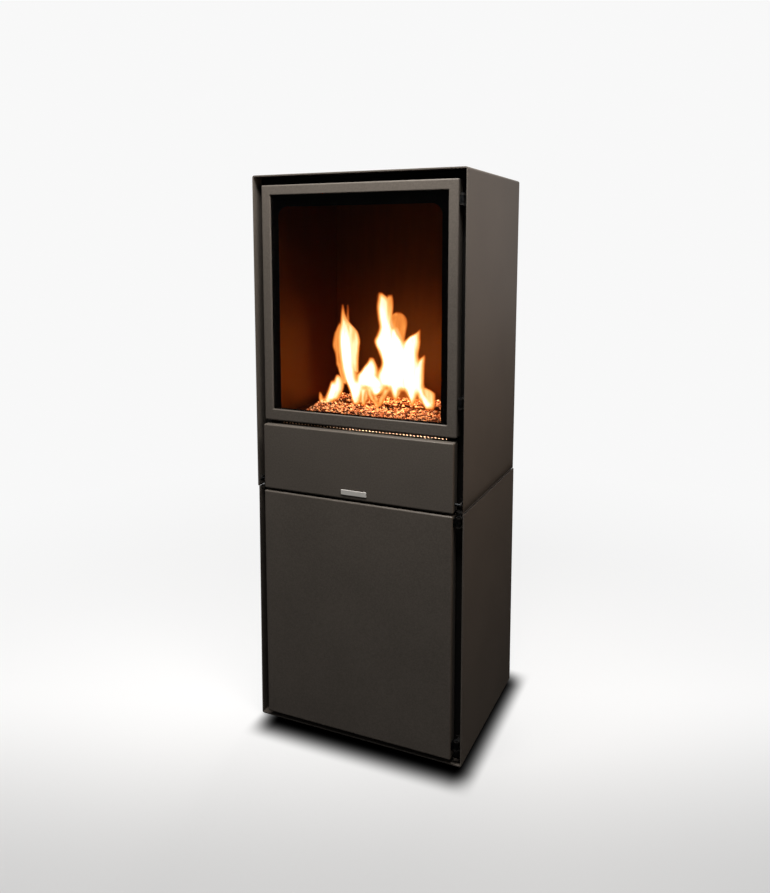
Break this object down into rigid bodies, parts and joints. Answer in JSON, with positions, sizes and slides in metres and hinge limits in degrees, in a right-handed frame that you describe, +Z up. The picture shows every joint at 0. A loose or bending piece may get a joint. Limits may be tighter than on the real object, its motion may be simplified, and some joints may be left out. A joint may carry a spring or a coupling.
{
  "type": "bioethanol fireplace",
  "caption": "Tall two-module sheet-steel bioethanol fireplace with a glazed door over the fire chamber, a drop-down service flap and a storage door.",
  "frame": {"origin": "middle of the object's footprint, on the floor", "axes": "+Z up, the doors face -Y, +X to the right as seen from the front"},
  "size_m": [0.495, 0.394, 1.255],
  "materials": {
    "casing_paint": "matt anthracite powder coat with a fine texture",
    "black_paint": "matt black",
    "chamber_steel": "matt black heat-proof paint",
    "stainless": "brushed",
    "zinc_plate": "satin zinc plate",
    "pane_glass": "clear ceramic glass",
    "rope_fibre": "woven glass-fibre rope",
    "wool_fibre": "ceramic fibre felt",
    "pebbles": "matt broken pebbles",
    "ferrite": "dull magnet ferrite",
    "badge_metal": "satin anodised",
    "bumper_rubber": "matt",
    "nylon": "moulded glass-filled nylon"
  },
  "bodies": {
    "casing": {"upper_casing": "casing_paint", "lower_casing": "casing_paint", "upper_back_panel": "casing_paint", "lower_back_panel": "casing_paint", "lower_top_plate": "black_paint", "upper_floor_plate": "black_paint", "upper_face_frame": "black_paint", "lower_face_frame": "black_paint", "air_rail": "black_paint", "fire_chamber_left_wall": "chamber_steel", "fire_chamber_right_wall": "chamber_steel", "fire_chamber_back_wall": "chamber_steel", "fire_chamber_roof": "chamber_steel", "fire_chamber_floor": "black_paint", "burner_tank": "stainless", "ceramic_wool": "wool_fibre", "slider_guide_left": "stainless", "slider_guide_right": "stainless", "hearth_plate": "chamber_steel", "pebble_bed": "pebbles", "door_hinge_bracket_upper": "black_paint", "door_hinge_bracket_lower": "black_paint", "door_hinge_pin_upper": "stainless", "door_hinge_pin_lower": "stainless", "door_magnet": "ferrite", "flap_bracket_left": "black_paint", "flap_bracket_right": "black_paint", "flap_pin_left": "stainless", "flap_pin_right": "stainless", "flap_magnet_left": "ferrite", "flap_magnet_right": "ferrite", "storage_hinge_bracket_upper": "black_paint", "storage_hinge_bracket_lower": "black_paint", "storage_hinge_pin_upper": "stainless", "storage_hinge_pin_lower": "stainless", "push_latch_body": "nylon", "storage_bumper_upper": "bumper_rubber", "storage_bumper_lower": "bumper_rubber", "storage_shelf": "black_paint", "shelf_rail_left": "black_paint", "shelf_rail_right": "black_paint", "levelling_foot_front_left": "nylon", "levelling_foot_front_right": "nylon", "levelling_foot_rear_left": "nylon", "levelling_foot_rear_right": "nylon"},
    "glazed_door": {"door_frame": "casing_paint", "door_glass": "pane_glass", "glass_gasket": "rope_fibre", "glass_retainer": "zinc_plate", "door_seal": "rope_fibre", "door_hinge_arm_upper": "zinc_plate", "door_hinge_arm_lower": "zinc_plate"},
    "service_flap": {"flap_panel": "casing_paint", "badge_plate": "badge_metal"},
    "storage_door": {"storage_door_panel": "casing_paint", "storage_hinge_arm_upper": "zinc_plate", "storage_hinge_arm_lower": "zinc_plate", "latch_strike": "zinc_plate"},
    "slider": {"burner_slider": "stainless"},
    "latch_plunger": {"push_latch_plunger": "nylon"}
  },
  "joints": [
    {"name": "glazed_door_hinge", "type": "hinge", "parent": "casing", "child": "glazed_door", "pos_m": [0.235, -0.181, 0.988], "axis": [0, 0, 1], "range_deg": [0, 110]},
    {"name": "service_flap_hinge", "type": "hinge", "parent": "casing", "child": "service_flap", "pos_m": [0, -0.182, 0.5749], "axis": [1, 0, 0], "range_deg": [0, 90]},
    {"name": "storage_door_hinge", "type": "hinge", "parent": "casing", "child": "storage_door", "pos_m": [0.235, -0.186, 0.294], "axis": [0, 0, 1], "range_deg": [0, 110]},
    {"name": "burner_slider_slide", "type": "slide", "parent": "casing", "child": "slider", "axis": [0, -1, 0], "range_m": [0, 0.054]},
    {"name": "latch_plunger_press", "type": "slide", "parent": "casing", "child": "latch_plunger", "axis": [0, 1, 0], "range_m": [0, 0.003], "stiffness_N_per_m": 800, "springref_m": -0.004}
  ]
}
